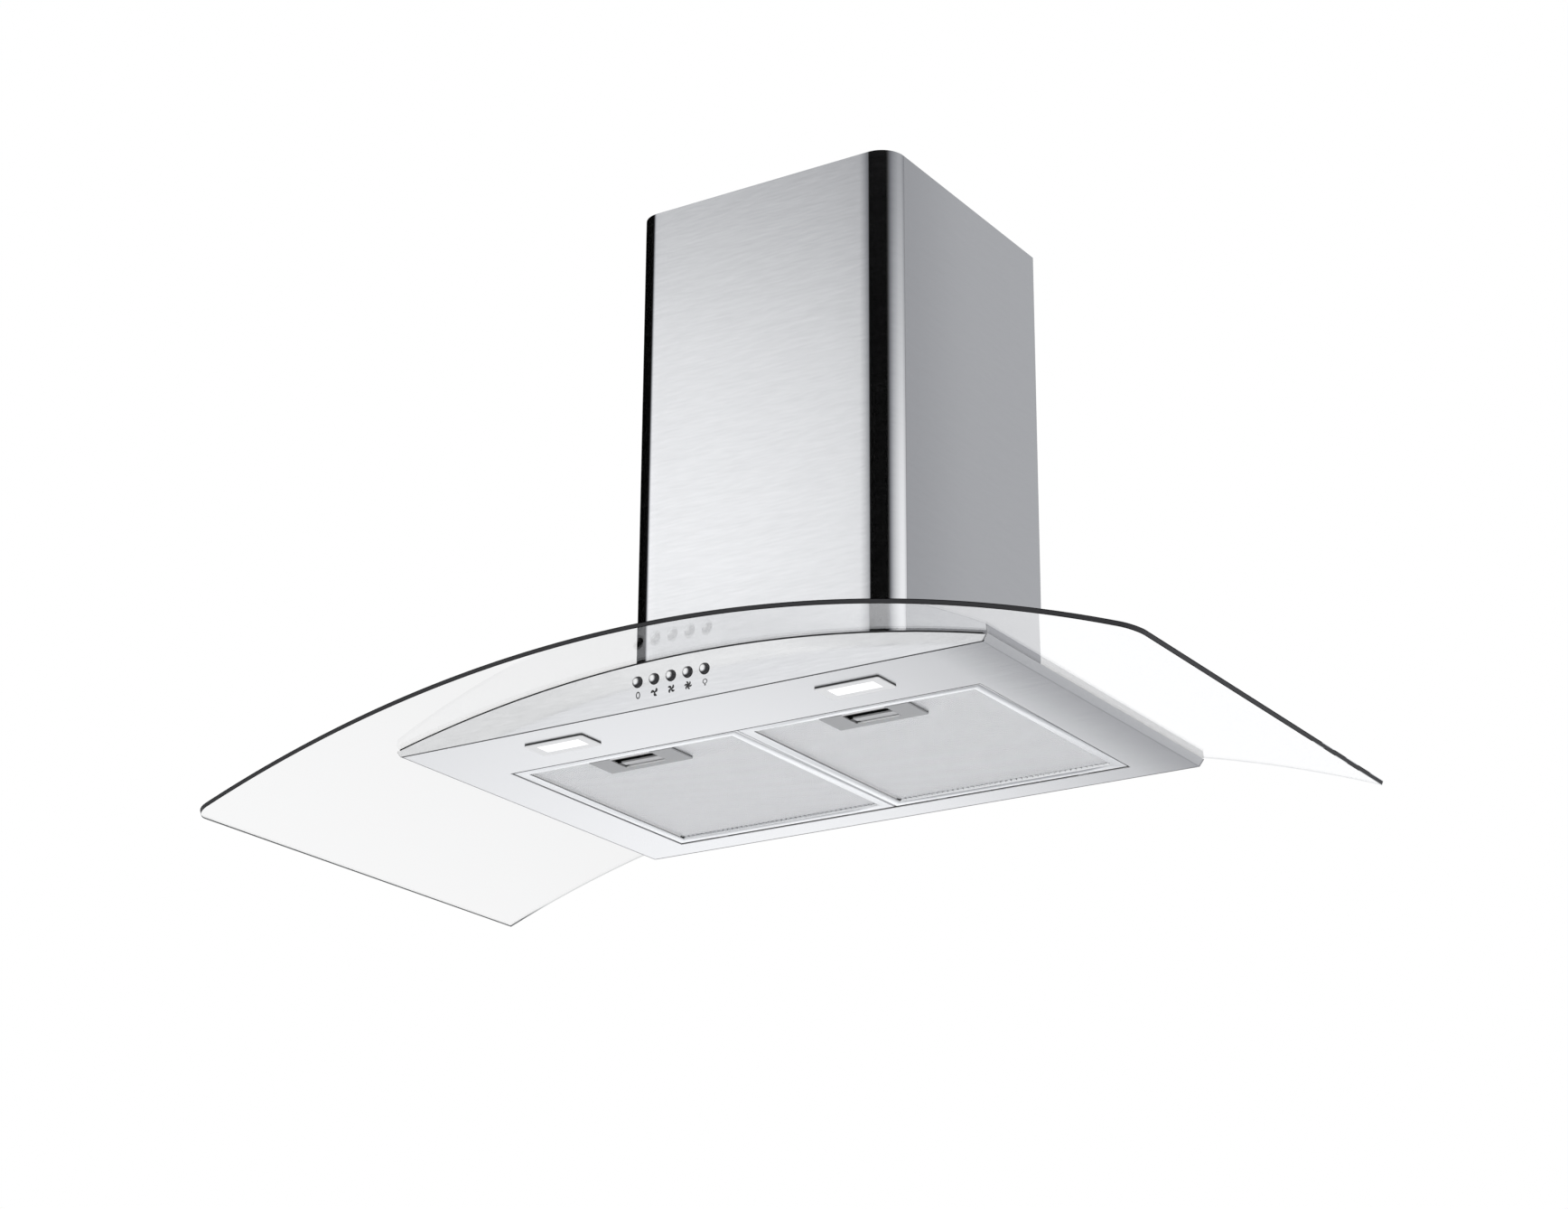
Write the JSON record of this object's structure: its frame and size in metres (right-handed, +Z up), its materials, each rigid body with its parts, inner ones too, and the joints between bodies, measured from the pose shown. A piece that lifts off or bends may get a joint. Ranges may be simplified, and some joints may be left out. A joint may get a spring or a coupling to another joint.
{
  "type": "wall-mounted chimney range hood",
  "caption": "Wall-mounted chimney hood with a curved glass canopy, arched fascia with push buttons, grease filters, lamps, blower and telescoping chimney.",
  "frame": {"origin": "on the wall, in the middle of the hood's width, level with the body's underside", "axes": "+X to the right seen from the front, +Y into the wall, +Z up"},
  "size_m": [0.9, 0.4515, 0.5643],
  "materials": {
    "brushed_stainless": "horizontal brushed grain, satin",
    "satin_stainless": "smooth satin",
    "galvanised_steel": "galvanised sheet",
    "clear_glass": "clear toughened, ground edges",
    "black_foam": "matte closed-cell foam",
    "black_rubber": "matte",
    "zinc_screws": "zinc plated",
    "chrome_button": "polished chrome plate",
    "filter_aluminium": "bright rolled aluminium",
    "latch_grey": "flat grey moulding",
    "spring_steel": "bright wire",
    "black_moulding": "fine moulded texture",
    "white_moulding": "satin moulding",
    "lamp_trim": "silver satin",
    "lamp_diffuser": "opal, lit from behind",
    "motor_alloy": "die-cast",
    "motor_steel": "laminated steel",
    "shaft_steel": "ground steel",
    "copper_coil": "enamelled copper",
    "bronze_bush": "sintered bronze"
  },
  "bodies": {
    "hood": {"underside_panel": "satin_stainless", "front_fascia": "brushed_stainless", "top_deck": "galvanised_steel", "plenum_baffle": "galvanised_steel", "glass_canopy": "clear_glass", "glass_gasket": "black_foam", "glass_screws": "zinc_screws", "motor_box": "galvanised_steel", "wall_plate": "galvanised_steel", "blower_deck": "galvanised_steel", "chassis_screws": "zinc_screws", "chimney_brackets": "galvanised_steel", "blower_scroll_left": "black_moulding", "blower_scroll_right": "black_moulding", "motor_cap_left": "motor_alloy", "motor_cap_right": "motor_alloy", "motor_stator": "motor_steel", "motor_windings": "copper_coil", "motor_bearings": "bronze_bush", "motor_bracket": "galvanised_steel", "motor_grommets": "black_rubber", "run_capacitor": "white_moulding", "outlet_collar": "black_moulding", "terminal_box": "white_moulding", "terminal_box_cover": "white_moulding", "cable_gland": "black_moulding", "lamp_driver": "white_moulding", "chimney_lower_cover": "brushed_stainless", "filter_hinge_hooks": "galvanised_steel", "lamp_frame_left": "lamp_trim", "lamp_lens_left": "lamp_diffuser", "led_board_left": "white_moulding", "lamp_frame_right": "lamp_trim", "lamp_lens_right": "lamp_diffuser", "led_board_right": "white_moulding", "switch_block": "black_moulding"},
    "button_off": {"button_off": "chrome_button"},
    "button_low": {"button_low": "chrome_button"},
    "button_medium": {"button_medium": "chrome_button"},
    "button_high": {"button_high": "chrome_button"},
    "button_light": {"button_light": "chrome_button"},
    "filter_left": {"filter_frame_left": "filter_aluminium", "filter_mesh_left": "filter_aluminium", "filter_core_left": "filter_aluminium", "latch_plate_left": "latch_grey"},
    "latch_left": {"latch_slide_left": "latch_grey", "latch_spring_left": "spring_steel"},
    "filter_right": {"filter_frame_right": "filter_aluminium", "filter_mesh_right": "filter_aluminium", "filter_core_right": "filter_aluminium", "latch_plate_right": "latch_grey"},
    "latch_right": {"latch_slide_right": "latch_grey", "latch_spring_right": "spring_steel"},
    "fan": {"impeller": "black_moulding", "motor_shaft": "shaft_steel", "motor_rotor": "motor_alloy"},
    "damper_left": {"damper_flap_left": "black_moulding"},
    "damper_right": {"damper_flap_right": "black_moulding"},
    "upper_chimney": {"chimney_upper_cover": "brushed_stainless", "chimney_top_bracket": "galvanised_steel"}
  },
  "joints": [
    {"name": "press_off", "type": "slide", "parent": "hood", "child": "button_off", "axis": [0, 0.9977, 0.068], "range_m": [0, 0.003], "stiffness_N_per_m": 600},
    {"name": "press_low", "type": "slide", "parent": "hood", "child": "button_low", "axis": [0, 0.9977, 0.068], "range_m": [0, 0.003], "stiffness_N_per_m": 600},
    {"name": "press_medium", "type": "slide", "parent": "hood", "child": "button_medium", "axis": [0, 0.9977, 0.068], "range_m": [0, 0.003], "stiffness_N_per_m": 600},
    {"name": "press_high", "type": "slide", "parent": "hood", "child": "button_high", "axis": [0, 0.9977, 0.068], "range_m": [0, 0.003], "stiffness_N_per_m": 600},
    {"name": "press_light", "type": "slide", "parent": "hood", "child": "button_light", "axis": [0, 0.9977, 0.068], "range_m": [0, 0.003], "stiffness_N_per_m": 600},
    {"name": "filter_left_drop", "type": "hinge", "parent": "hood", "child": "filter_left", "pos_m": [-0.11605, -0.0329, 0.0036], "axis": [1, 0, 0], "range_deg": [0, 75]},
    {"name": "latch_left_pull", "type": "slide", "parent": "filter_left", "child": "latch_left", "axis": [0, 1, 0], "range_m": [0, 0.0055], "stiffness_N_per_m": 500, "deforming": ["latch_spring_left"]},
    {"name": "filter_right_drop", "type": "hinge", "parent": "hood", "child": "filter_right", "pos_m": [0.11605, -0.0329, 0.0036], "axis": [1, 0, 0], "range_deg": [0, 75]},
    {"name": "latch_right_pull", "type": "slide", "parent": "filter_right", "child": "latch_right", "axis": [0, 1, 0], "range_m": [0, 0.0055], "stiffness_N_per_m": 500, "deforming": ["latch_spring_right"]},
    {"name": "fan_spin", "type": "hinge", "parent": "hood", "child": "fan", "pos_m": [0, -0.13, 0.152], "axis": [1, 0, 0], "continuous": true},
    {"name": "damper_left_lift", "type": "hinge", "parent": "hood", "child": "damper_left", "pos_m": [-0.0025, -0.112, 0.312], "axis": [0, 1, 0], "range_deg": [0, 80]},
    {"name": "damper_right_lift", "type": "hinge", "parent": "hood", "child": "damper_right", "pos_m": [0.0025, -0.112, 0.312], "axis": [0, -1, 0], "range_deg": [0, 80]},
    {"name": "chimney_extend", "type": "slide", "parent": "hood", "child": "upper_chimney", "axis": [0, 0, 1], "range_m": [0, 0.36]}
  ]
}
